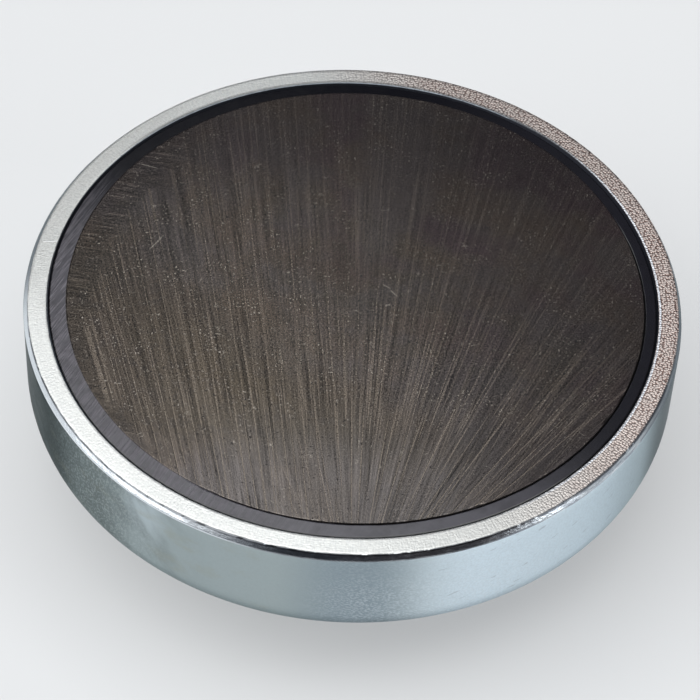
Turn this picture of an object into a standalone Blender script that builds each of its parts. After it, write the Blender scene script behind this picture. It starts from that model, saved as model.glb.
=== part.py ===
"""Flat pot magnet: a pressed steel pot, a ferrite disc potted into it, and a threaded stud in its back.

Metres, +Z up. The holding face looks up and the stud points down. The origin is the centre of the stud's end.
"""

from math import cos, pi, radians, sin

import bmesh
import bpy

# Pot, pressed from sheet steel.
POT_DIAMETER = 0.050
POT_HEIGHT = 0.010
WALL = 0.002
BASE_THICKNESS = 0.002
CORNER_RADIUS = 0.0034
INNER_CORNER_RADIUS = 0.001
RIM_CHAMFER = 0.00035
RIM_EDGE_BREAK = 0.00025

# Potting between the wall and the ferrite disc, both ground together just below the rim.
POTTING_WIDTH = 0.0011
FACE_RECESS = 0.0001

# Stud, pressed through the base from inside until its thin head lies flush with the pot's floor.
THREAD_DIAMETER = 0.006
STUD_LENGTH = 0.006
TIP_CHAMFER = 0.0008
HEAD_DIAMETER = 0.0082
HEAD_THICKNESS = 0.0012

# Clearance between pieces that are fixed to each other.
FIT_GAP = 0.00015

# Facets around a turned piece, and along a rounded corner.
ROUND_STEPS = 96
STUD_STEPS = 48
ARC_STEPS = 6
SHARP_ANGLE = radians(25)

# Places and sizes that follow from the ones above.
BASE_Z = STUD_LENGTH
FLOOR_Z = BASE_Z + BASE_THICKNESS
RIM_Z = BASE_Z + POT_HEIGHT
FACE_Z = RIM_Z - FACE_RECESS
POT_RADIUS = POT_DIAMETER / 2
BORE_RADIUS = POT_RADIUS - WALL
MAGNET_RADIUS = BORE_RADIUS - POTTING_WIDTH
THREAD_RADIUS = THREAD_DIAMETER / 2
HEAD_RADIUS = HEAD_DIAMETER / 2
HEAD_Z = FLOOR_Z - HEAD_THICKNESS


def clear_scene():
    """Remove every object."""
    for item in list(bpy.data.objects):
        bpy.data.objects.remove(item, do_unlink=True)


def finish(name, colour, roughness, metallic):
    """A plain Principled material."""
    material = bpy.data.materials.new(name)
    material.use_nodes = True
    shader = material.node_tree.nodes["Principled BSDF"]
    shader.inputs["Base Color"].default_value = (*colour, 1.0)
    shader.inputs["Roughness"].default_value = roughness
    shader.inputs["Metallic"].default_value = metallic
    material.diffuse_color = (*colour, 1.0)
    return material


def arc(centre_r, centre_z, radius, start, end):
    """Points of an arc in the radius-height plane, angles measured from the outward direction."""
    angles = (start + (end - start) * step / ARC_STEPS for step in range(ARC_STEPS + 1))
    return [(centre_r + radius * cos(angle), centre_z + radius * sin(angle)) for angle in angles]


def turned(name, outline, steps, material):
    """Turn a closed outline of (radius, height) points about Z. Points at radius 0 close up on the axis."""
    mesh = bpy.data.meshes.new(name)
    turning = bmesh.new()
    corners = [turning.verts.new((radius, 0.0, height)) for radius, height in outline]
    edges = [
        turning.edges.new((corner, following))
        for corner, following in zip(corners, corners[1:] + corners[:1])
        if corner.co.x > 0.0 or following.co.x > 0.0
    ]
    bmesh.ops.spin(
        turning,
        geom=corners + edges,
        cent=(0.0, 0.0, 0.0),
        axis=(0.0, 0.0, 1.0),
        angle=2 * pi,
        steps=steps,
        use_merge=True,
    )
    bmesh.ops.remove_doubles(turning, verts=turning.verts, dist=1e-7)
    bmesh.ops.recalc_face_normals(turning, faces=turning.faces)
    turning.to_mesh(mesh)
    turning.free()
    mesh.shade_smooth()
    mesh.set_sharp_from_angle(angle=SHARP_ANGLE)
    mesh.materials.append(material)
    item = bpy.data.objects.new(name, mesh)
    bpy.context.scene.collection.objects.link(item)
    return item


def make_pot(material):
    """The cup: a flat turned rim, a straight wall, rounded corners and a stepped hole for the stud."""
    hole_radius = THREAD_RADIUS + FIT_GAP
    pocket_radius = HEAD_RADIUS + FIT_GAP
    pocket_z = HEAD_Z - FIT_GAP
    outline = [
        (hole_radius, BASE_Z),
        *arc(POT_RADIUS - CORNER_RADIUS, BASE_Z + CORNER_RADIUS, CORNER_RADIUS, -pi / 2, 0.0),
        (POT_RADIUS, RIM_Z - RIM_CHAMFER),
        (POT_RADIUS - RIM_CHAMFER, RIM_Z),
        (BORE_RADIUS + RIM_EDGE_BREAK, RIM_Z),
        (BORE_RADIUS, RIM_Z - RIM_EDGE_BREAK),
        *arc(
            BORE_RADIUS - INNER_CORNER_RADIUS,
            FLOOR_Z + INNER_CORNER_RADIUS,
            INNER_CORNER_RADIUS,
            0.0,
            -pi / 2,
        ),
        (pocket_radius, FLOOR_Z),
        (pocket_radius, pocket_z),
        (hole_radius, pocket_z),
    ]
    return turned("pot", outline, ROUND_STEPS, material)


def make_magnet_disc(material):
    """The solid ferrite disc, seated on the pot's floor."""
    outline = [
        (0.0, FLOOR_Z + FIT_GAP),
        (MAGNET_RADIUS, FLOOR_Z + FIT_GAP),
        (MAGNET_RADIUS, FACE_Z),
        (0.0, FACE_Z),
    ]
    return turned("magnet_disc", outline, ROUND_STEPS, material)


def make_potting_ring(material):
    """The ring between disc and wall, from the pot's inner corner up to the ground face."""
    inner_radius = MAGNET_RADIUS + FIT_GAP
    outer_radius = BORE_RADIUS - FIT_GAP
    bottom_z = FLOOR_Z + INNER_CORNER_RADIUS + FIT_GAP
    outline = [
        (inner_radius, bottom_z),
        (outer_radius, bottom_z),
        (outer_radius, FACE_Z),
        (inner_radius, FACE_Z),
    ]
    return turned("potting_ring", outline, ROUND_STEPS, material)


def make_threaded_stud(material):
    """The stud: a chamfered end, a shank at the thread's outside diameter, and the thin head."""
    outline = [
        (0.0, 0.0),
        (THREAD_RADIUS - TIP_CHAMFER, 0.0),
        (THREAD_RADIUS, TIP_CHAMFER),
        (THREAD_RADIUS, HEAD_Z),
        (HEAD_RADIUS, HEAD_Z),
        (HEAD_RADIUS, FLOOR_Z),
        (0.0, FLOOR_Z),
    ]
    return turned("threaded_stud", outline, STUD_STEPS, material)


def main():
    clear_scene()
    make_pot(finish("zinc_plated_steel", (0.62, 0.66, 0.66), 0.32, 1.0))
    make_magnet_disc(finish("ground_ferrite", (0.085, 0.072, 0.068), 0.5, 0.2))
    make_potting_ring(finish("dark_potting", (0.09, 0.088, 0.10), 0.45, 0.0))
    make_threaded_stud(finish("zinc_plated_stud", (0.60, 0.63, 0.62), 0.35, 1.0))


main()
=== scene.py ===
"""The look of the threaded stud pot magnet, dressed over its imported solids.

The holding face looks up and the stud stands on the floor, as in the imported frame.
"""

from math import cos, hypot, pi, radians, sin

import bmesh
import bpy
from mathutils import Matrix, Vector, noise


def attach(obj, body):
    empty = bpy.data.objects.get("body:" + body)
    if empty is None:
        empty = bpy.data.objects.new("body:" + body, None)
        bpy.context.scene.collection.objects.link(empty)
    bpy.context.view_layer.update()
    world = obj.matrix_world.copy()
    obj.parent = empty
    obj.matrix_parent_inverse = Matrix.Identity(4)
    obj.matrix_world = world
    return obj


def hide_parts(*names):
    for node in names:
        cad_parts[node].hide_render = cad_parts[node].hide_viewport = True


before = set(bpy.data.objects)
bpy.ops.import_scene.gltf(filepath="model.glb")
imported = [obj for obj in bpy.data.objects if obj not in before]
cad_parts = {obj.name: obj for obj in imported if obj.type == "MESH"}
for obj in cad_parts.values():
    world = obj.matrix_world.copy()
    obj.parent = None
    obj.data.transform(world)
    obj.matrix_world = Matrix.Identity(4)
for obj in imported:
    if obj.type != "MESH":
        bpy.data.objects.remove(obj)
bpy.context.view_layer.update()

# Lengths are in millimetres from the middle of the stud's end, +Z up. One millimetre in metres:
MM = 0.001

# Clearance between pieces that are fixed to each other.
FIT_GAP = 0.15

# Pot, pressed from sheet steel. Its wall ends in a flat turned rim, the land.
STUD_LENGTH = 6.0
POT_RADIUS = 25.0
POT_HEIGHT = 10.0
WALL = 2.0
CORNER_RADIUS = 3.4
INNER_CORNER_RADIUS = 1.0
CHAMFER = 0.35
CHAMFER_HEIGHT = 0.44
EDGE_BREAK = 0.25
EDGE_ROUND = 0.03
HOLE_BREAK = 0.12
WORN_DEPTH = 0.6
BASE_Z = STUD_LENGTH
FLOOR_Z = BASE_Z + WALL
RIM_Z = BASE_Z + POT_HEIGHT
BORE_RADIUS = POT_RADIUS - WALL
LAND_OUTER = POT_RADIUS - CHAMFER
LAND_INNER = BORE_RADIUS + EDGE_BREAK
CHAMFER_Z = RIM_Z - CHAMFER_HEIGHT

# The chamfer is a little narrower at the far right, by up to this much.
CHAMFER_SLIP = 0.13
CHAMFER_SLIP_SIDE = radians(40)

# Stud. Its thread runs out just below the pot's back, and its head lies flush with the pot's floor.
THREAD_RADIUS = 3.0
THREAD_PITCH = 1.0
THREAD_DEPTH = 0.613
TIP_CHAMFER = 0.8
RUNOUT_START = 4.5
RUNOUT_END = 5.3
SHANK_RADIUS = 2.97
HEAD_RADIUS = 4.1
HEAD_THICKNESS = 1.2
HEAD_BREAK = 0.1
HEAD_Z = FLOOR_Z - HEAD_THICKNESS

# The stepped hole that takes it.
HOLE_RADIUS = THREAD_RADIUS + FIT_GAP
POCKET_RADIUS = HEAD_RADIUS + FIT_GAP
POCKET_Z = HEAD_Z - FIT_GAP

# Ferrite disc and potting, ground together just below the rim. The disc sits a little off the middle.
FACE_RECESS = 0.1
FACE_Z = RIM_Z - FACE_RECESS
DISC_RADIUS = 22.0
DISC_BOTTOM_Z = FLOOR_Z + FIT_GAP
DISC_SHIFT = (0.19, 0.15)
CHIPPED_WIDTH = 0.8
POTTING_DROP = 0.03
POTTING_TOP_Z = FACE_Z - POTTING_DROP
POTTING_BOTTOM_Z = FLOOR_Z + INNER_CORNER_RADIUS + FIT_GAP
SEAM_DEPTH = 0.09

# The floor lies this far under the stud's end. This share of its look is a pale glow.
FLOOR_GAP = 0.02
FLOOR_GLOW = 0.4

# Half the floor's side in metres, and how many squares lie along it.
FLOOR_REACH = 3.0
FLOOR_SQUARES = 8

# Facets around the pot, the disc and the potting, and around the stud.
ROUND_STEPS = 640
STUD_STEPS = 96

# Random patterns of different layers lie this many pitches apart.
LAYER_SPACING = 7.3

# Which way the small lamp lies.
LAMP_SIDE = Vector((0.82, -0.32, 0.43)).normalized()

# The camera's place in metres and which way the picture's right and top point, fitted to the rim's outlines.
CAMERA_SPOT = Vector((0.0, -0.150311, 0.182069))
CAMERA_RIGHT = Vector((0.99858938, 0.04014905, 0.03474623))
CAMERA_UP = Vector((-0.05309624, 0.75273396, 0.65618014))
CAMERA_LENS = 151.57
CAMERA_SENSOR = 36.0


class Signal:
    """A socket of a shader. Sums written on it become Math nodes."""

    def __init__(self, nodes, socket):
        self.nodes = nodes
        self.socket = socket

    def math(self, operation, *others):
        terms = dict(enumerate((self, *others)))
        return self.nodes.add("ShaderNodeMath", {"operation": operation}, terms)

    def also(self, output):
        """Another output of the same node."""
        return Signal(self.nodes, self.socket.node.outputs[output])

    def step(self, low, high):
        """0 below low, 1 above high, and smooth between them. High may be the lower number."""
        return self.nodes.add(
            "ShaderNodeMapRange",
            {"interpolation_type": "SMOOTHSTEP"},
            {"Value": self, "From Min": low, "From Max": high},
        )

    def __add__(self, other):
        return self.math("ADD", other)

    __radd__ = __add__

    def __sub__(self, other):
        return self.math("SUBTRACT", other)

    def __rsub__(self, other):
        return self.nodes.add("ShaderNodeMath", {"operation": "SUBTRACT"}, {0: other, 1: self})

    def __mul__(self, other):
        return self.math("MULTIPLY", other)

    __rmul__ = __mul__

    def __truediv__(self, other):
        return self.math("DIVIDE", other)


class Nodes:
    """The node tree of one finish. add() makes every node of it."""

    def __init__(self, tree):
        tree.nodes.clear()
        self.tree = tree

    def add(self, kind, settings=None, sockets=None, output=0):
        node = self.tree.nodes.new(kind)
        for name, value in (settings or {}).items():
            setattr(node, name, value)
        for key, value in (sockets or {}).items():
            if isinstance(value, Signal):
                self.tree.links.new(value.socket, node.inputs[key])
            else:
                node.inputs[key].default_value = value
        return Signal(self, node.outputs[output] if len(node.outputs) else None)

    def blend(self, factor, first, second):
        """A mix of two colours."""
        return self.add(
            "ShaderNodeMix",
            {"data_type": "RGBA", "clamp_factor": True},
            {0: factor, 6: first, 7: second},
            output=2,
        )

    def place(self):
        """X, Y and Z of the surface in millimetres, and the three together."""
        spot = self.add("ShaderNodeTexCoord", output="Object")
        spot = self.add("ShaderNodeVectorMath", {"operation": "SCALE"}, {0: spot, "Scale": 1 / MM})
        x = self.add("ShaderNodeSeparateXYZ", sockets={0: spot})
        return x, x.also(1), x.also(2), spot

    def point(self, x, y, z=0.0):
        return self.add("ShaderNodeCombineXYZ", sockets={0: x, 1: y, 2: z})

    def cloud(self, spot, scale, detail=2.0, roughness=0.5, dimensions="3D"):
        """Noise around a half."""
        return self.add(
            "ShaderNodeTexNoise",
            {"noise_dimensions": dimensions},
            {"Vector": spot, "Scale": scale, "Detail": detail, "Roughness": roughness},
        )

    def flat_cloud(self, spot, scale, detail=2.0, roughness=0.5):
        """Noise around a half that takes only the spot's x and y."""
        return self.cloud(spot, scale, detail, roughness, "2D")

    def cells(self, spot, randomness):
        """Distance from the middle of the nearest of scattered cells, about one across."""
        return self.add(
            "ShaderNodeTexVoronoi",
            {"voronoi_dimensions": "2D"},
            {"Vector": spot, "Scale": 1.0, "Randomness": randomness},
            output="Distance",
        )

    def relief(self, height):
        """A bump of the given height in millimetres."""
        return self.add("ShaderNodeBump", sockets={"Height": height, "Distance": MM, "Strength": 1.0})


def colour(red, green, blue):
    return (red, green, blue, 1.0)


def new_finish(name):
    material = bpy.data.materials.new(name)
    material.use_nodes = True
    return material, Nodes(material.node_tree)


def coat(nodes, sockets):
    """The Principled shader and the output that it feeds."""
    shader = nodes.add("ShaderNodeBsdfPrincipled", sockets=sockets)
    nodes.add("ShaderNodeOutputMaterial", sockets={"Surface": shader})


def angle_about(x, y):
    """Angle about Z in radians, 0 at the near side, from -pi to pi."""
    return x.math("ARCTAN2", y * -1.0)


def distance_from(x, y):
    """Distance from the Z axis."""
    return (x * x + y * y).math("SQRT")


# Meshes.


def turned_piece(name, outline, shape, closed=True):
    """Turn an outline of (radius, height) points about Z.

    shape(angle, radius, height) says where a point of it lies. A closed outline joins its last point to its
    first, and an open one starts and ends on the axis.
    """
    turning = bmesh.new()
    rings = []
    for radius, height in outline:
        ring = []
        for step in range(ROUND_STEPS if radius > 0 else 1):
            angle = 2 * pi * step / ROUND_STEPS
            r, z = shape(angle, radius, height)
            ring.append(turning.verts.new((r * cos(angle) * MM, r * sin(angle) * MM, z * MM)))
        rings.append(ring)
    followers = rings[1:] + rings[:1] if closed else rings[1:]
    for ring, following in zip(rings, followers):
        for step in range(ROUND_STEPS):
            after = (step + 1) % ROUND_STEPS
            if len(ring) == 1:
                corners = (ring[0], following[step], following[after])
            elif len(following) == 1:
                corners = (ring[step], following[0], ring[after])
            else:
                corners = (ring[step], following[step], following[after], ring[after])
            turning.faces.new(corners)
    return finished_piece(name, turning)


def finished_piece(name, work, sharp=radians(40)):
    """An object of the work's faces, smooth but for the edges sharper than an angle."""
    bmesh.ops.recalc_face_normals(work, faces=work.faces)
    mesh = bpy.data.meshes.new(name)
    work.to_mesh(mesh)
    work.free()
    mesh.shade_smooth()
    mesh.set_sharp_from_angle(angle=sharp)
    piece = bpy.data.objects.new(name, mesh)
    bpy.context.scene.collection.objects.link(piece)
    return piece


def arc(centre_r, centre_z, radius, start, end, count):
    """Points of an arc, its angles in degrees from the outward direction."""
    angles = [radians(start + (end - start) * step / count) for step in range(count + 1)]
    return [(centre_r + radius * cos(angle), centre_z + radius * sin(angle)) for angle in angles]


def straight(start, end, count):
    """Points between two others, without them."""
    return [
        (
            start[0] + (end[0] - start[0]) * step / count,
            start[1] + (end[1] - start[1]) * step / count,
        )
        for step in range(1, count)
    ]


def wander(angle, radius, pitch, layer):
    """A smooth random number from -1 to 1, which changes over about one pitch along a circle."""
    spot = Vector((radius * cos(angle), radius * sin(angle), layer * LAYER_SPACING * pitch)) / pitch
    return noise.noise(spot)


def pot_outline():
    """The cup's section, from the stud hole out along the base, up the wall and down inside."""
    chamfer_low = (POT_RADIUS, CHAMFER_Z)
    chamfer_high = (LAND_OUTER, RIM_Z)
    break_high = (LAND_INNER, RIM_Z)
    break_low = (BORE_RADIUS, RIM_Z - EDGE_BREAK)
    hole_edge = (HOLE_RADIUS + HOLE_BREAK, BASE_Z)
    corner = arc(POT_RADIUS - CORNER_RADIUS, BASE_Z + CORNER_RADIUS, CORNER_RADIUS, -90, 0, 16)
    inner_middle = (BORE_RADIUS - INNER_CORNER_RADIUS, FLOOR_Z + INNER_CORNER_RADIUS)
    # Halfway round an edge, its surface lies this far from the sharp corner, both in and down.
    slope = EDGE_ROUND * 0.28
    return [
        (HOLE_RADIUS, BASE_Z + HOLE_BREAK),
        (HOLE_RADIUS + HOLE_BREAK / 3, BASE_Z + HOLE_BREAK / 4),
        hole_edge,
        *straight(hole_edge, corner[0], 14),
        *corner,
        *straight(corner[-1], chamfer_low, 8),
        (POT_RADIUS, CHAMFER_Z - EDGE_ROUND),
        (POT_RADIUS - slope, CHAMFER_Z + slope),
        *straight(chamfer_low, chamfer_high, 4),
        (LAND_OUTER + slope, RIM_Z - slope),
        (LAND_OUTER - EDGE_ROUND, RIM_Z),
        *straight(chamfer_high, break_high, 8),
        (LAND_INNER + EDGE_ROUND, RIM_Z),
        (LAND_INNER - slope, RIM_Z - slope),
        *straight(break_high, break_low, 3),
        break_low,
        (BORE_RADIUS, RIM_Z - WORN_DEPTH),
        *arc(*inner_middle, INNER_CORNER_RADIUS, 0, -90, 4),
        (POCKET_RADIUS, FLOOR_Z),
        (POCKET_RADIUS, POCKET_Z),
        (HOLE_RADIUS, POCKET_Z),
    ]


def worn_rim(angle, radius, height):
    """The rim's turned and plated edges wander a little, and the chamfer narrows on one side."""
    if height < RIM_Z - WORN_DEPTH - 0.02 or radius < BORE_RADIUS - 0.01:
        return radius, height
    if radius > LAND_OUTER - 0.05:
        slip = 0.022 * wander(angle, radius, 1.1, 1) + 0.018 * wander(angle, radius, 0.35, 2)
        slope = (POT_RADIUS - radius) / CHAMFER
        outward = CHAMFER_SLIP * max(0.0, cos(angle - CHAMFER_SLIP_SIDE))
        if radius > POT_RADIUS - 0.002:
            return POT_RADIUS, height + slip if height > CHAMFER_Z - 0.1 else height
        return radius + (outward - abs(slip)) * slope, min(height + slip * (1 - slope), RIM_Z)
    if radius < LAND_INNER + 0.05:
        slip = 0.02 * wander(angle, radius, 0.9, 3) + 0.022 * wander(angle, radius, 0.28, 4)
        return radius + slip * (radius - BORE_RADIUS) / EDGE_BREAK, height
    return radius, height


def make_pot_shell():
    return turned_piece("pot_shell", pot_outline(), worn_rim)


def seam_share(angle):
    """How open the seam round the disc is: most at the near right, hardly at the left and the far side."""
    return 0.12 + 0.85 * max(0.0, cos(angle + radians(48)))


def chipped_edge(angle, radius, height):
    """The ground face's edge has crumbled a little, and deeper at a few bites."""
    inside = DISC_RADIUS - radius
    if inside > CHIPPED_WIDTH or height < FACE_Z - 0.01:
        return radius, height
    bite = wander(angle, DISC_RADIUS, 0.9, 5) + 0.5 * wander(angle, DISC_RADIUS, 0.3, 6)
    share = seam_share(angle)
    reach = 0.05 + 0.24 * share * max(0.0, bite) ** 1.5
    fall = max(0.0, 1 - inside / reach) ** 0.6
    rough = 0.03 * wander(angle, radius, 0.2, 7) * fall * (1 - fall)
    slip = 0.02 * fall * abs(wander(angle, radius, 0.25, 8))
    return radius - slip, height - (SEAM_DEPTH + 0.03) * fall * share + rough * share


def make_ferrite_disc():
    wide = [0.0, 4.0, 10.0, 16.0, 20.0]
    narrow = [DISC_RADIUS - CHIPPED_WIDTH * (1 - step / 20) for step in range(21)]
    outline = [
        *((radius, FACE_Z) for radius in wide + narrow),
        (DISC_RADIUS, FACE_Z - 0.4),
        (DISC_RADIUS, FACE_Z - 1.0),
        (DISC_RADIUS, DISC_BOTTOM_Z),
        (0.0, DISC_BOTTOM_Z),
    ]
    disc = turned_piece("ferrite_disc", outline, chipped_edge, closed=False)
    disc.data.transform(Matrix.Translation(Vector((*DISC_SHIFT, 0.0)) * MM))
    return disc


def ground_potting(angle, radius, height):
    """The potting's top sinks in a narrow seam round the disc. Its outer edge is a little ragged."""
    if height < FACE_Z - 0.3:
        return radius, height
    from_disc = radius * cos(angle) - DISC_SHIFT[0], radius * sin(angle) - DISC_SHIFT[1]
    beside = hypot(*from_disc) - DISC_RADIUS
    width = 0.05 + 0.04 * seam_share(angle) + 0.03 * wander(angle, radius, 0.6, 11)
    seam = min(max(1.2 - beside / width, 0.0), 1.0)
    outer = max(0.0, (radius - BORE_RADIUS + 0.1) / 0.16)
    ragged = 0.03 * wander(angle, radius, 0.5, 9) + 0.02 * wander(angle, radius, 0.2, 10)
    depth = max(SEAM_DEPTH * seam_share(angle) - POTTING_DROP, 0.0)
    return radius + min(0.0, ragged * outer), height - depth * seam * seam * (3 - 2 * seam)


def make_potting():
    top = POTTING_TOP_Z
    # It reaches a little into the disc's edge and over the rim's edge break, so that no gap shows.
    inner = DISC_RADIUS - 0.6
    outer = BORE_RADIUS - 0.02
    lip = BORE_RADIUS + 0.06
    outline = [
        (inner, POTTING_BOTTOM_Z),
        (BORE_RADIUS - FIT_GAP, POTTING_BOTTOM_Z),
        (BORE_RADIUS - FIT_GAP, top - 1.0),
        (outer, top - 0.25),
        (outer, top - 0.12),
        (lip, top - 0.02),
        (lip - 0.04, top),
        *straight((lip - 0.04, top), (lip - 0.3, top), 4),
        *straight((lip - 0.3, top), (inner, top), 34),
        (inner, top),
    ]
    return turned_piece("potting", outline, ground_potting)


def thread_radius(turn):
    """Radius of the thread at a place along the pitch, from 0 to 1, with the crest at 0."""
    away = abs((turn + 0.5) % 1.0 - 0.5)
    crest, root = 1 / 16, 3 / 8
    depth = min(max((away - crest) / (root - crest), 0.0), 1.0)
    return THREAD_RADIUS - THREAD_DEPTH * depth


def stud_point(angle, turn, height):
    """A point of the threaded length. The end's chamfer cuts the thread, which runs out at the top."""
    z = min(max(height, 0.0), RUNOUT_END)
    ease = min(max((z - RUNOUT_START) / (RUNOUT_END - RUNOUT_START), 0.0), 1.0)
    ease = ease * ease * (3 - 2 * ease)
    r = thread_radius(turn) * (1 - ease) + SHANK_RADIUS * ease
    r = min(r, THREAD_RADIUS - TIP_CHAMFER + z)
    return Vector((r * cos(angle), r * sin(angle), z)) * MM


def thread_strip(work):
    """A right-hand thread as a helical strip, whose turns start and end past the stud's ends."""
    rows = [0.0, 0.06, 0.11, 0.17, 0.24, 0.31, 0.38, 0.44, 0.5, 0.56, 0.62, 0.69, 0.76, 0.83, 0.89, 0.94]
    turns = int(RUNOUT_END / THREAD_PITCH) + 3
    strip = []
    for number in range(turns * STUD_STEPS + 1):
        angle = 2 * pi * number / STUD_STEPS
        rise = number / STUD_STEPS * THREAD_PITCH - 1.5 * THREAD_PITCH
        strip.append(
            [work.verts.new(stud_point(angle, row, rise + row * THREAD_PITCH)) for row in rows]
        )
    for number in range(len(strip) - STUD_STEPS - 1):
        here = strip[number] + strip[number + STUD_STEPS][:1]
        there = strip[number + 1] + strip[number + 1 + STUD_STEPS][:1]
        for row in range(len(rows)):
            work.faces.new((here[row], there[row], there[row + 1], here[row + 1]))


def stud_shank(work):
    """The plain shank from the thread's end up, and the head inside the pot."""
    outline = [
        (SHANK_RADIUS, RUNOUT_END),
        (SHANK_RADIUS, HEAD_Z),
        (HEAD_RADIUS - HEAD_BREAK, HEAD_Z),
        (HEAD_RADIUS, HEAD_Z + HEAD_BREAK),
        (HEAD_RADIUS, FLOOR_Z - HEAD_BREAK),
        (HEAD_RADIUS - HEAD_BREAK, FLOOR_Z),
    ]
    angles = [2 * pi * step / STUD_STEPS for step in range(STUD_STEPS)]
    rings = [
        [work.verts.new(Vector((r * cos(angle), r * sin(angle), z)) * MM) for angle in angles]
        for r, z in outline
    ]
    for ring, following in zip(rings, rings[1:]):
        for step in range(STUD_STEPS):
            after = (step + 1) % STUD_STEPS
            work.faces.new((ring[step], ring[after], following[after], following[step]))


def make_stud_thread():
    """The threaded length, the shank and the head in one closed piece."""
    work = bmesh.new()
    thread_strip(work)
    stud_shank(work)
    bmesh.ops.remove_doubles(work, verts=work.verts, dist=0.002 * MM)
    bmesh.ops.dissolve_degenerate(work, edges=work.edges, dist=0.001 * MM)
    bmesh.ops.holes_fill(work, edges=[edge for edge in work.edges if edge.is_boundary], sides=0)
    return finished_piece("stud_thread", work, radians(35))


# Finishes.

# A nick across the rim at the left, from one point to another.
RIM_NICK = ((-24.1, 3.86), (-22.9, 4.0))


def stroke(x, y, start, end, width):
    """1 along a straight scratch between two points, 0 elsewhere."""
    run_x, run_y = end[0] - start[0], end[1] - start[1]
    length = hypot(run_x, run_y)
    along = ((x - start[0]) * run_x + (y - start[1]) * run_y) / length
    across = ((y - start[1]) * run_x - (x - start[0]) * run_y) / length
    ends = along.step(0.0, 0.2 * length) * along.step(length, 0.8 * length)
    return across.math("ABSOLUTE").step(width, 0.4 * width) * ends


def turned_land(nodes, x, y, angle, radius, spot):
    """Colour and relief of the rim's face: fine cross ticks, rows of dimples from a chattering tool, painted
    shade and painted highlights.
    """
    chatter = (x * 0.94 + y * 0.3).step(1.5, 15.0)
    gaps = nodes.cells(nodes.point(angle * 118.0, radius * 4.8), 0.7).step(0.26, 0.62)
    ticks = nodes.flat_cloud(nodes.point(angle * 185.0, radius * 1.3), 1.0, 2.0, 0.7)
    grain = nodes.cloud(spot, 6.0, 2.0, 0.8)
    patches = nodes.cloud(spot, 0.5, 3.0, 0.6)
    nick = stroke(x, y, *RIM_NICK, 0.05)
    bright = nodes.blend(ticks.step(0.34, 0.66), colour(0.68, 0.695, 0.68), colour(0.765, 0.775, 0.75))
    fainter = 1 - 0.35 * y.step(-6.0, -16.0)
    # The chatter's dimples are real; their warm pink-brown tone is partly painted reflection of warm light
    # from the right.
    warm = nodes.blend(gaps * fainter, colour(0.68, 0.59, 0.545), colour(0.23, 0.15, 0.13))
    share = (chatter * (0.6 + 0.8 * patches)).math("MINIMUM", 1.0)
    tone = nodes.blend(share, bright, warm)
    worn = 0.25 + 0.38 * x.step(-8.0, -18.0)
    tone = nodes.blend(grain.step(0.40, 0.74) * worn, tone, colour(0.42, 0.42, 0.41))
    # Painted shade: the land is painted darker at the near right, the far left and the far right.
    near_right = x.step(-5.0, 13.0) * y.step(-8.0, -17.0)
    left = (y * 0.42 - x * 0.9).step(19.5, 24.0)
    far = (x * 0.5 + y * 0.87).step(17.0, 25.0)
    land_shade = near_right * 0.36 + left * 0.24 + far * 0.20
    tone = nodes.blend(land_shade, tone, colour(0.34, 0.33, 0.315))
    # Painted highlight: a near-white glare at the near left.
    land_glare = (x * -0.87 - y * 0.5).step(20.5, 23.5)
    tone = nodes.blend(land_glare * 0.25, tone, colour(0.96, 0.97, 0.94))
    # Painted highlight along the inner edge at the right, and painted shade over that edge at the far side.
    brink_highlight = radius.step(LAND_INNER + 0.01, LAND_INNER + 0.06) * x.step(9.0, 19.0)
    brink_highlight = brink_highlight * radius.step(LAND_INNER + 0.21, LAND_INNER + 0.15)
    tone = nodes.blend(brink_highlight * 0.75, tone, colour(0.78, 0.84, 0.91))
    lip = radius.step(LAND_INNER + 0.31, LAND_INNER + 0.01)
    lip = lip * (x.step(9.0, 17.0) * 0.10 + y.step(11.0, 18.0) * 0.90)
    tone = nodes.blend(lip, tone, colour(0.06, 0.065, 0.07))
    tone = nodes.blend(nick * 0.8, tone, colour(0.93, 0.95, 0.96))
    height = ticks * 0.006 + grain * 0.003 + nick * 0.02 - gaps * (0.002 + 0.012 * chatter)
    return tone, height


def cut_chamfer(nodes, x, y, z, angle):
    """Colour of the chamfer: streaked along its length, with a painted highlight at the near left, painted
    shade over the far side, and a painted dark reflection right in front.
    """
    streaks = nodes.flat_cloud(nodes.point(angle * 12.0, z * 6.0), 1.0, 4.0, 0.65)
    tone = nodes.blend(streaks.step(0.40, 0.64), colour(0.42, 0.46, 0.51), colour(0.80, 0.86, 0.90))
    # Painted highlight: the chamfer is painted pale at the near left.
    pale = (x * -0.7 - y * 0.7).step(8.0, 18.0) * streaks.step(0.76, 0.54)
    tone = nodes.blend(pale * 0.9, tone, colour(0.90, 0.95, 0.99))
    # Painted shade: the chamfer is painted darker over the far side.
    tone = nodes.blend((y + x * 0.25).step(-11.0, -4.0) * 0.8, tone, colour(0.13, 0.145, 0.16))
    # Painted dark reflection: right in front the chamfer is painted nearly black.
    front_dark_reflection = (y - x * 0.1).step(-22.3, -24.3) * (0.7 + 0.3 * streaks.step(0.65, 0.45))
    return nodes.blend(front_dark_reflection * 0.85, tone, colour(0.125, 0.135, 0.15))


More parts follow.
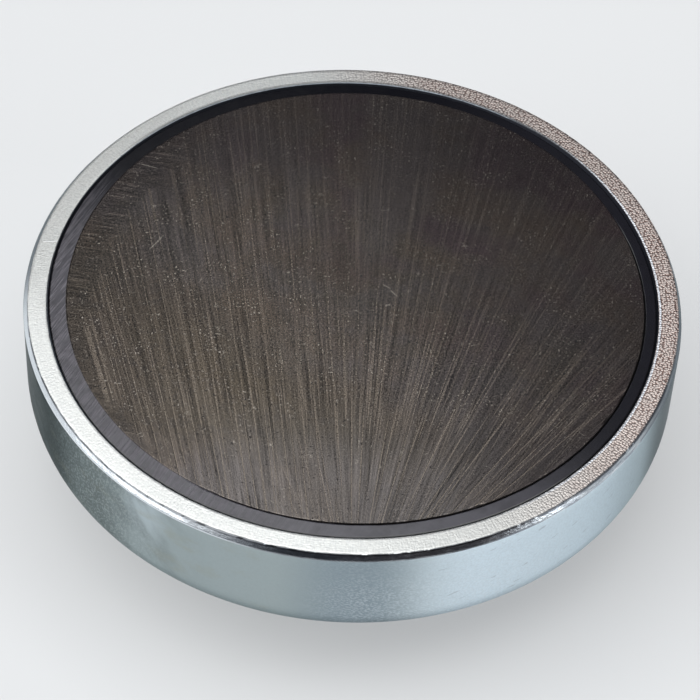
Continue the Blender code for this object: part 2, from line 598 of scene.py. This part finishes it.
def drawn_wall(nodes, x, y, z, angle, spot):
    """Colour and relief of the drawn wall: clouded zinc with a fine orange peel, with painted light at the
    right, painted shade at the left, a painted dark reflection in front, and painted highlights and glints.
    """
    side = x / POT_RADIUS
    near = y.step(3.0, -7.0)
    # Painted light: the wall is painted pale blue at the right.
    wall_light = side.step(0.04, 0.42) * side.step(1.06, 0.70)
    # Painted dark reflection: a darker blue band in front, under the middle.
    dark_reflection_dip = side.step(-0.20, 0.02) * side.step(0.29, 0.09)
    tone = nodes.blend(wall_light, colour(0.40, 0.465, 0.475), colour(0.76, 0.88, 0.96))
    tone = nodes.blend(dark_reflection_dip * 0.75, tone, colour(0.25, 0.315, 0.365))
    # Painted shade: dark green at the left, nearly black at the far left, and darker at the far right.
    tone = nodes.blend(side.step(-0.56, -0.74) * 0.9, tone, colour(0.165, 0.195, 0.19))
    tone = nodes.blend(side.step(-0.76, -0.87) * 0.95, tone, colour(0.03, 0.036, 0.032))
    tone = nodes.blend(side.step(0.87, 0.95) * 0.9, tone, colour(0.15, 0.17, 0.18))
    # Painted highlight: a soft pale patch high on the wall at the left.
    wall_gleam = side.step(-0.65, -0.59) * side.step(-0.48, -0.56) * z.step(10.5, 14.0)
    tone = nodes.blend(wall_gleam * 0.55, tone, colour(0.62, 0.71, 0.76))
    tone = nodes.blend(near, colour(0.50, 0.56, 0.58), tone)
    smears = nodes.flat_cloud(nodes.point(angle * 9.0, z * 0.35 + angle * 6.0), 1.0, 3.0, 0.6)
    smears = smears.step(0.38, 0.72) * side.step(-0.35, -0.65) * near * z.step(BASE_Z, BASE_Z + 3.0)
    tone = nodes.blend(smears * 0.5, tone, colour(0.13, 0.15, 0.15))
    stains = nodes.cloud(nodes.point(x * 0.5, y * 0.5, z), 0.6, 4.0, 0.65).step(0.50, 0.75)
    tone = nodes.blend(stains * 0.35 * side.step(0.3, -0.5), tone, colour(0.36, 0.36, 0.28))
    peel = nodes.cloud(nodes.point(x, y, z * 2.0 + x * 0.3), 4.4, 2.0, 0.6)
    # Painted glints: pale flecks of the orange peel across the front, where the peel's relief is also
    # deeper.
    glint_zone = side.step(-0.14, 0.06) * side.step(0.80, 0.50) * (0.35 + 0.65 * z.step(14.5, 11.0))
    tone = nodes.blend(peel.step(0.42, 0.66) * glint_zone * 0.34, tone, colour(0.84, 0.92, 0.98))
    grit = nodes.cloud(spot, 5.5, 2.0, 0.75)
    gritty = side.step(-0.44, -0.66) * side.step(-0.90, -0.76)
    # The grit at the left is real; its pale grains are partly painted glints.
    tone = nodes.blend(grit.step(0.48, 0.62) * gritty * 0.43, tone, colour(0.64, 0.71, 0.71))
    tone = nodes.blend((grit - 0.5) * 0.5 + 0.08, tone, colour(0.30, 0.33, 0.35))
    around_wall = angle * POT_RADIUS
    slanting = nodes.point(around_wall * 0.5 + z * 0.4, z * 3.2 - around_wall * 0.9)
    scuffs = nodes.flat_cloud(slanting, 1.0, 1.0, 0.5).step(0.765, 0.795)
    tone = nodes.blend(scuffs * wall_light * 0.4, tone, colour(0.28, 0.32, 0.36))
    height = peel * (0.006 + 0.018 * glint_zone) + grit * (0.002 + 0.010 * gritty)
    return tone, height


def dark_edge_line(nodes, x, y, z, angle, radius):
    """1 in a thin ragged line of painted shade along the chamfer's upper edge on the near side, 0 elsewhere.
    """
    wobble = nodes.flat_cloud(nodes.point(angle * 22.0, radius * 2.0), 1.0, 3.0, 0.6)
    outward = x * (cos(CHAMFER_SLIP_SIDE) / POT_RADIUS) + y * (sin(CHAMFER_SLIP_SIDE) / POT_RADIUS)
    cut = radius - outward.math("MAXIMUM", 0.0) * CHAMFER_SLIP
    ragged = cut + (wobble - 0.5) * 0.12 - x.step(-8.0, -15.0) * 0.05
    line = ragged.step(LAND_OUTER - 0.09, LAND_OUTER - 0.02) * cut.step(LAND_OUTER + 0.13, LAND_OUTER + 0.06)
    line = line * z.step(RIM_Z - 0.26, RIM_Z - 0.2)
    return line * y.step(-1.0, -9.0) * wobble.step(0.26, 0.38)


def zinc_plate():
    """Bright zinc on the pot: turned land, chamfer, drawn wall, and the inside in painted shade."""
    material, nodes = new_finish("zinc_plated_pot")
    x, y, z, spot = nodes.place()
    angle = angle_about(x, y)
    radius = distance_from(x, y)
    land = z.step(RIM_Z - 0.03, RIM_Z - 0.01) * radius.step(BORE_RADIUS + 0.1, BORE_RADIUS + 0.2)
    outside = radius.step(POT_RADIUS - 1.0, POT_RADIUS - 0.6) * (1 - land)
    chamfer = z.step(CHAMFER_Z - 0.03, CHAMFER_Z + 0.01) * outside
    land_tone, land_height = turned_land(nodes, x, y, angle, radius, spot)
    wall_tone, wall_height = drawn_wall(nodes, x, y, z, angle, spot)
    tone = nodes.blend(land, wall_tone, land_tone)
    tone = nodes.blend(chamfer, tone, cut_chamfer(nodes, x, y, z, angle))
    # Painted reflection: the lower edge is painted a little yellow.
    lower_reflection = z.step(BASE_Z + 1.4, BASE_Z + 0.5) * radius.step(POT_RADIUS - 4.0, POT_RADIUS - 2.6)
    tone = nodes.blend(lower_reflection * 0.65, tone, colour(0.45, 0.455, 0.36))
    # Painted shade: a thin dark line where the land meets the chamfer.
    edge = dark_edge_line(nodes, x, y, z, angle, radius)
    tone = nodes.blend(edge * 0.85, tone, colour(0.035, 0.037, 0.045))
    # Painted shade: the edge break down into the bore is painted dark.
    slope = radius.step(LAND_INNER + 0.01, LAND_INNER - 0.02) * z.step(RIM_Z - 0.3, RIM_Z - 0.26)
    tone = nodes.blend(slope * 0.8, tone, colour(0.16, 0.18, 0.21))
    # Painted shade: the inside is painted nearly black, and this reaches up over the edge break at the far
    # side and at the right.
    inner = radius - y.step(-5.0, 7.0) * 0.06 - x.step(9.0, 17.0) * 0.07
    inside = inner.step(BORE_RADIUS + 0.19, BORE_RADIUS + 0.11) * z.step(RIM_Z - 1.5, RIM_Z - 1.2)
    tone = nodes.blend(inside, tone, colour(0.014, 0.015, 0.019))
    fine = nodes.cloud(spot, 3.0, 3.0, 0.55)
    roughness = 0.20 + 0.14 * fine + outside * (1 - chamfer) * 0.10
    roughness = roughness + inside * 0.25 + land * 0.08 - chamfer * 0.06
    sockets = {
        "Base Color": tone,
        "Metallic": 1.0,
        "Specular Tint": colour(0.50, 0.54, 0.55),
        "Roughness": roughness,
        "Normal": nodes.relief(land * land_height + (1 - land) * wall_height + fine * 0.004),
    }
    coat(nodes, sockets)
    return material


# Families of straight grinding marks. Each fans out from a point in front of the pot.
RIGHT_FAN = (1.1, -30.4)
CROSSING_FAN = (0.4, -39.0)
LEFT_FAN = (5.4, -85.0)
LEFT_CROSSING_FAN = (1.0, -60.0)


def fan_marks(nodes, x, y, fan, reach, layer):
    """Fine streaks around 0 and thin long scratches from 0 to 1, straight and fanning from a point."""
    across = (x - fan[0]) / (y - fan[1]) * reach
    spot = nodes.point(across * 1.7, y * 0.04 + layer * 11.0)
    streaks = nodes.flat_cloud(spot, 1.0, 3.5, 1.0) - 0.5
    spot = nodes.point(across * 5.5 + layer * 5.0, y * 0.06 + layer * 17.0)
    scratches = nodes.flat_cloud(spot, 1.0, 0.0, 0.5).step(0.65, 0.74)
    return streaks, scratches


def grinding(nodes, x, y):
    """The marks of all families. The right one is drawn in three parts, so that it stays fine all along."""
    left = x.step(2.5, -6.5)
    right = 1 - 0.85 * left
    near = y.step(-9.0, -14.0)
    far = y.step(1.0, 8.0)
    shares = (
        (right * near, RIGHT_FAN, 15.0, 1),
        (right * (1 - near) * (1 - far), RIGHT_FAN, 27.0, 2),
        (right * far, RIGHT_FAN, 42.0, 3),
        (right * 0.5, CROSSING_FAN, 38.0, 4),
        (left, LEFT_FAN, 85.0, 5),
        (left * 0.5, LEFT_CROSSING_FAN, 60.0, 6),
    )
    streaks, scratches = 0.0, 0.0
    for share, fan, reach, layer in shares:
        fine, long = fan_marks(nodes, x, y, fan, reach, layer)
        streaks = fine * share + streaks
        scratches = long * share + scratches
    return streaks, scratches.math("MINIMUM", 1.0)


# Scratches of their own on the disc, each from one point to another.
DISC_SCRATCHES = (
    ((-17.6, 12.9), (-15.8, 12.4)),
    ((-15.9, 3.6), (-14.8, 5.4)),
    ((2.1, 1.4), (2.9, 0.9)),
    ((2.7, 0.9), (3.4, 0.1)),
)


def disc_tone(nodes, x, y, flat):
    """Warm dark grey in patches, with painted shade at the sides and the far side, painted light in front,
    and its mottling.
    """
    patches = nodes.flat_cloud(flat, 0.17, 4.0, 0.6)
    mottle = nodes.flat_cloud(flat, 0.7, 4.0, 0.62)
    violet = nodes.flat_cloud(flat, 0.12, 2.0, 0.5).step(0.45, 0.65)
    violet = violet * (x * 0.7 + y * 0.7).step(-6.0, 12.0)
    tone = nodes.blend(patches.step(0.34, 0.68), colour(0.079, 0.068, 0.065), colour(0.085, 0.067, 0.055))
    tone = nodes.blend(violet * 0.8, tone, colour(0.068, 0.049, 0.053))
    brown = (x * -0.5 - y * 0.7).step(3.0, 11.0) * y.step(-18.0, -13.0)
    tone = nodes.blend(brown * 0.85, tone, colour(0.059, 0.047, 0.032))
    tone = nodes.blend(mottle.step(0.46, 0.66) * 0.45, tone, colour(0.050, 0.043, 0.038))
    # Painted shade: darker at the left, the right, the far side and the near right.
    disc_shade = x.step(-8.0, -19.0) * 0.34 + y.step(5.0, 19.0) * 0.45 + x.step(3.0, 14.0) * 0.22
    disc_shade = disc_shade + (x * 0.7 - y * 0.7).step(10.0, 18.0) * 0.28
    tone = nodes.blend(disc_shade, tone, colour(0.034, 0.029, 0.031))
    # Painted light: paler in front.
    disc_light = y.step(-8.0, -18.0) * x.step(-17.0, -5.0) * x.step(15.0, 6.0)
    return nodes.blend(disc_light * 0.45, tone, colour(0.120, 0.112, 0.108)), mottle


def crumbs(nodes, x, y, flat):
    """Light specks in loose clusters, partly painted glints, a few short curled scratches, and pits, each
    from 0 to 1.
    """
    cluster = nodes.flat_cloud(flat, 0.35, 4.0, 0.7).step(0.49, 0.70)
    dotted = (0.24 + 0.66 * cluster) * (1 - 0.6 * y.step(-9.0, -15.0))
    speck = nodes.flat_cloud(flat, 5.6, 0.0, 0.5).step(0.755, 0.81) * dotted
    curl = (nodes.flat_cloud(flat, 1.2, 1.5, 0.6) - 0.5).math("ABSOLUTE").step(0.016, 0.004)
    curl = curl * nodes.flat_cloud(nodes.point(x + 40.0, y), 0.9, 1.0, 0.5).step(0.69, 0.74)
    for start, end in DISC_SCRATCHES:
        curl = curl + stroke(x, y, start, end, 0.06)
    pit = nodes.flat_cloud(flat, 3.1, 1.0, 0.5).step(0.245, 0.20)
    return (speck + curl * 0.6).math("MINIMUM", 1.0), pit


def cross_marks(nodes, x, y, mottle):
    """Short marks across the disc's left edge around a half, and the band that they fill, from 0 to 1."""
    marks = nodes.flat_cloud(nodes.point(x * 0.3, (y + x * 0.12) * 5.0), 1.0, 2.0, 0.7)
    depth = 0.7 + 1.9 * y.step(-9.0, 3.0) + 3.0 * (mottle - 0.5)
    from_edge = DISC_RADIUS - distance_from(x - DISC_SHIFT[0], y - DISC_SHIFT[1])
    band = (from_edge - depth).step(0.7, -0.5) * x.step(-12.0, -16.0)
    return marks, band


def ground_ferrite():
    """Ground ferrite: dark and grainy, with fanned grinding marks and short cross marks at the left edge,
    glints painted on the marks and specks, and painted shade in the pits and the crumbled edge.
    """
    material, nodes = new_finish("ground_ferrite")
    x, y, z, _ = nodes.place()
    flat = nodes.point(x, y)
    streaks, scratches = grinding(nodes, x, y)
    grain = nodes.flat_cloud(flat, 9.0, 1.0, 0.8)
    tone, mottle = disc_tone(nodes, x, y, flat)
    speck, pit = crumbs(nodes, x, y, flat)
    marks, band = cross_marks(nodes, x, y, mottle)
    # The marks show most at the near left: their light colour there is partly painted glint.
    clear = (0.24 + 0.76 * (y * 0.8 + x * 0.45).step(16.0, -10.0)) * (1 - 0.12 * x.step(4.0, 14.0))
    streaks = streaks * (1 - band) * clear + (marks - 0.5) * 0.6 * band
    scratches = scratches * (1 - band) * grain.step(0.22, 0.50) * clear
    scratches = scratches * (0.6 + 0.4 * y.step(-7.0, -13.0)) + marks.step(0.62, 0.72) * band * 0.35
    grainy = (3.7 - 2.0 * y.step(-6.0, -16.0)) * clear
    light = (0.92 + streaks * 2.6 + (grain - 0.5) * grainy - band * 0.12).math("MAXIMUM", 0.12)
    shade = nodes.add("ShaderNodeVectorMath", {"operation": "SCALE"}, {0: tone, "Scale": light})
    shade = nodes.blend(scratches * 0.60, shade, colour(0.245, 0.205, 0.165))
    shade = nodes.blend(speck * (0.35 + 0.55 * clear), shade, colour(0.38, 0.345, 0.30))
    crumbled = z.step(FACE_Z - 0.003, FACE_Z - 0.02)
    # Painted shade: the pits and the crumbled edge are painted nearly black.
    hollow_shade = (pit * 0.8 + crumbled * 0.9).math("MINIMUM", 1.0)
    shade = nodes.blend(hollow_shade, shade, colour(0.020, 0.018, 0.019))
    sockets = {
        "Base Color": shade,
        "Roughness": 0.19 + (mottle - 0.5) * 0.12 + (grain - 0.5) * 0.16 + scratches * 0.10 + crumbled * 0.3,
        "Normal": nodes.relief(streaks * 0.004 - scratches * 0.003 - pit * 0.03),
        "Metallic": 0.75 + 0.25 * crumbled,
    }
    coat(nodes, sockets)
    return material


def potting_compound():
    """Smooth dark potting, scored by slanting grinding lines at the left, with painted light at the near
    left, painted shade at the far side, and painted shade in its seams and at the rim's edge.
    """
    material, nodes = new_finish("ground_potting")
    x, y, z, spot = nodes.place()
    radius = distance_from(x, y)
    slant = radians(65)
    across = x * sin(slant) - y * cos(slant)
    along = x * cos(slant) + y * sin(slant)
    lines = nodes.flat_cloud(nodes.point(across * 5.0, along * 0.3), 1.0, 2.0, 0.8)
    cloudy = nodes.cloud(spot, 0.8, 3.0, 0.6)
    # Painted light and shade: nearly black, a little lighter at the right, and lighter at the near left.
    potting_light = (x * -0.55 - y * 0.83).step(-1.0, 13.0)
    tone = nodes.blend(x.step(0.0, 18.0), colour(0.0015, 0.0015, 0.003), colour(0.009, 0.009, 0.012))
    tone = nodes.blend(potting_light, tone, colour(0.052, 0.050, 0.060))
    lined = (x * -0.87 - y * 0.5).step(9.0, 21.0)
    scored = lines.step(0.42, 0.62) * lined
    # The scored lines are real; the band that they fill is also painted lighter, as painted light.
    tone = nodes.blend(lined * 0.5, tone, colour(0.044, 0.042, 0.049))
    tone = nodes.blend(scored * 0.65, tone, colour(0.112, 0.103, 0.119))
    tone = nodes.blend(cloudy.step(0.4, 0.7) * 0.3, tone, colour(0.003, 0.003, 0.004))
    # Painted shade: the sunk seam round the disc is painted black.
    seam = z.step(POTTING_TOP_Z - 0.002, POTTING_TOP_Z - 0.014)
    seam = seam * radius.step(BORE_RADIUS - 0.2, BORE_RADIUS - 0.4)
    tone = nodes.blend(seam, tone, colour(0.004, 0.004, 0.004))
    # Painted shade: the gap at the rim's edge is painted black.
    gap_shade = radius.step(BORE_RADIUS - 0.05, BORE_RADIUS + 0.01)
    tone = nodes.blend(gap_shade * 0.9, tone, colour(0.004, 0.004, 0.005))
    sockets = {
        "Base Color": tone,
        "Roughness": 0.08 + 0.07 * cloudy + scored * 0.18 + seam * 0.4,
        "Normal": nodes.relief(lines * lined * 0.010 + cloudy * 0.002),
        "Metallic": seam,
        "IOR": 1.5,
    }
    coat(nodes, sockets)
    return material


def zinc_stud():
    """Zinc on the rolled stud, with painted shade in the thread's roots."""
    material, nodes = new_finish("zinc_plated_stud")
    x, y, z, spot = nodes.place()
    angle = angle_about(x, y)
    root = distance_from(x, y).step(THREAD_RADIUS - 0.15, THREAD_RADIUS - 0.58)
    threaded = z.step(RUNOUT_END, RUNOUT_START)
    patches = nodes.cloud(spot, 1.2, 4.0, 0.6)
    grain = nodes.flat_cloud(nodes.point(angle * 3.0, z * 14.0), 1.0, 3.0, 0.6)
    tone = nodes.blend(patches.step(0.35, 0.7), colour(0.60, 0.63, 0.63), colour(0.50, 0.55, 0.58))
    # Painted shade in the thread's roots.
    tone = nodes.blend(root * threaded * 0.7, tone, colour(0.24, 0.25, 0.25))
    sockets = {
        "Base Color": tone,
        "Metallic": 1.0,
        "Roughness": 0.30 + 0.15 * grain + root * 0.08,
        "Normal": nodes.relief(grain * 0.006 + patches * 0.006),
    }
    coat(nodes, sockets)
    return material


def dress(piece, material, solid):
    """Give a piece its finish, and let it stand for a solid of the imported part."""
    piece.data.materials.append(material)
    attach(piece, "root")
    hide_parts(solid)


# Stage.


def lay_floor():
    """A plain pale floor just under the stud's end. It is clear from below, so that the pot's back shows."""
    work = bmesh.new()
    bmesh.ops.create_grid(work, x_segments=FLOOR_SQUARES, y_segments=FLOOR_SQUARES, size=FLOOR_REACH)
    for corner in work.verts:
        corner.co.z = -FLOOR_GAP * MM
    floor = finished_piece("floor", work)
    if floor.data.polygons[0].normal.z < 0:
        floor.data.flip_normals()
    material, nodes = new_finish("pale_floor")
    spot = nodes.add("ShaderNodeTexCoord", output="Object")
    mist = nodes.cloud(spot, 3.0)
    tone = nodes.blend(mist, colour(0.62, 0.63, 0.64), colour(0.64, 0.645, 0.65))
    top = nodes.add(
        "ShaderNodeBsdfPrincipled",
        sockets={"Base Color": tone, "Roughness": 0.7, "Specular IOR Level": 0.2},
    )
    # What the camera sees of the floor, also in metal and through glass, is partly a pale glow.
    glow = nodes.add("ShaderNodeEmission", sockets={"Color": colour(0.80, 0.81, 0.82), "Strength": 1.0})
    path = nodes.add("ShaderNodeLightPath", output="Is Camera Ray")
    seen = path + path.also("Is Glossy Ray") + path.also("Is Transmission Ray")
    pale = nodes.add("ShaderNodeMixShader", sockets={0: seen * FLOOR_GLOW, 1: top, 2: glow})
    below = nodes.add("ShaderNodeNewGeometry", output="Backfacing")
    clear = nodes.add("ShaderNodeBsdfTransparent")
    surface = nodes.add("ShaderNodeMixShader", sockets={0: below, 1: pale, 2: clear})
    nodes.add("ShaderNodeOutputMaterial", sockets={"Surface": surface})
    floor.data.materials.append(material)


def light_studio():
    """A soft bright ceiling that ends over the far side, a small lamp low at the right, and dim walls."""
    world = bpy.data.worlds.new("studio")
    bpy.context.scene.world = world
    world.use_nodes = True
    nodes = Nodes(world.node_tree)
    direction = nodes.add("ShaderNodeTexCoord", output="Generated")
    x = nodes.add("ShaderNodeSeparateXYZ", sockets={0: direction})
    y, z = x.also(1), x.also(2)
    far_edge = (y + 0.9 * x).step(0.73, 0.57) * (y - 0.6 * x).step(0.76, 0.68)
    near_edge = (y - 0.5 * x).step(-0.60, -0.35)
    ceiling = far_edge * near_edge * (z + 0.22 * x.step(-0.5, -0.9)).step(0.35, 0.60)
    behind = y.step(0.25, 0.6) * z.step(0.15, 0.45)
    dim = nodes.blend(behind, colour(0.30, 0.32, 0.35), colour(0.045, 0.045, 0.06))
    dim = nodes.blend(y.step(0.0, -0.55), dim, colour(0.04, 0.045, 0.06))
    dim = nodes.blend((x - y * 0.2).step(0.1, 0.6) * 0.7, dim, colour(0.14, 0.12, 0.12))
    dim = nodes.blend(z.step(0.24, 0.10), dim, colour(0.64, 0.66, 0.68))
    # The ceiling is dimmer along its far edge.
    full = (y + 0.35 * x).step(0.655, 0.57)
    bright = nodes.blend(full, colour(1.6, 1.64, 1.66), colour(2.65, 2.68, 2.70))
    glow = nodes.blend(ceiling, dim, bright)
    toward_lamp = x * LAMP_SIDE.x + y * LAMP_SIDE.y + z * LAMP_SIDE.z
    glow = nodes.blend(toward_lamp.step(0.972, 0.988), glow, colour(2.9, 2.95, 3.0))
    background = nodes.add("ShaderNodeBackground", sockets={"Color": glow, "Strength": 1.0})
    nodes.add("ShaderNodeOutputWorld", sockets={"Surface": background})


def set_camera():
    """The photograph's viewpoint."""
    data = bpy.data.cameras.new("camera")
    data.sensor_width = CAMERA_SENSOR
    data.lens = CAMERA_LENS
    camera = bpy.data.objects.new("camera", data)
    back = CAMERA_RIGHT.cross(CAMERA_UP).normalized()
    turn = Matrix((CAMERA_RIGHT, CAMERA_UP, back)).transposed()
    camera.matrix_world = Matrix.Translation(CAMERA_SPOT) @ turn.to_4x4()
    bpy.context.scene.collection.objects.link(camera)
    bpy.context.scene.camera = camera


set_camera()
dress(make_pot_shell(), zinc_plate(), "pot")
dress(make_ferrite_disc(), ground_ferrite(), "magnet_disc")
dress(make_potting(), potting_compound(), "potting_ring")
dress(make_stud_thread(), zinc_stud(), "threaded_stud")
lay_floor()
light_studio()
bpy.context.scene.view_settings.view_transform = "Standard"
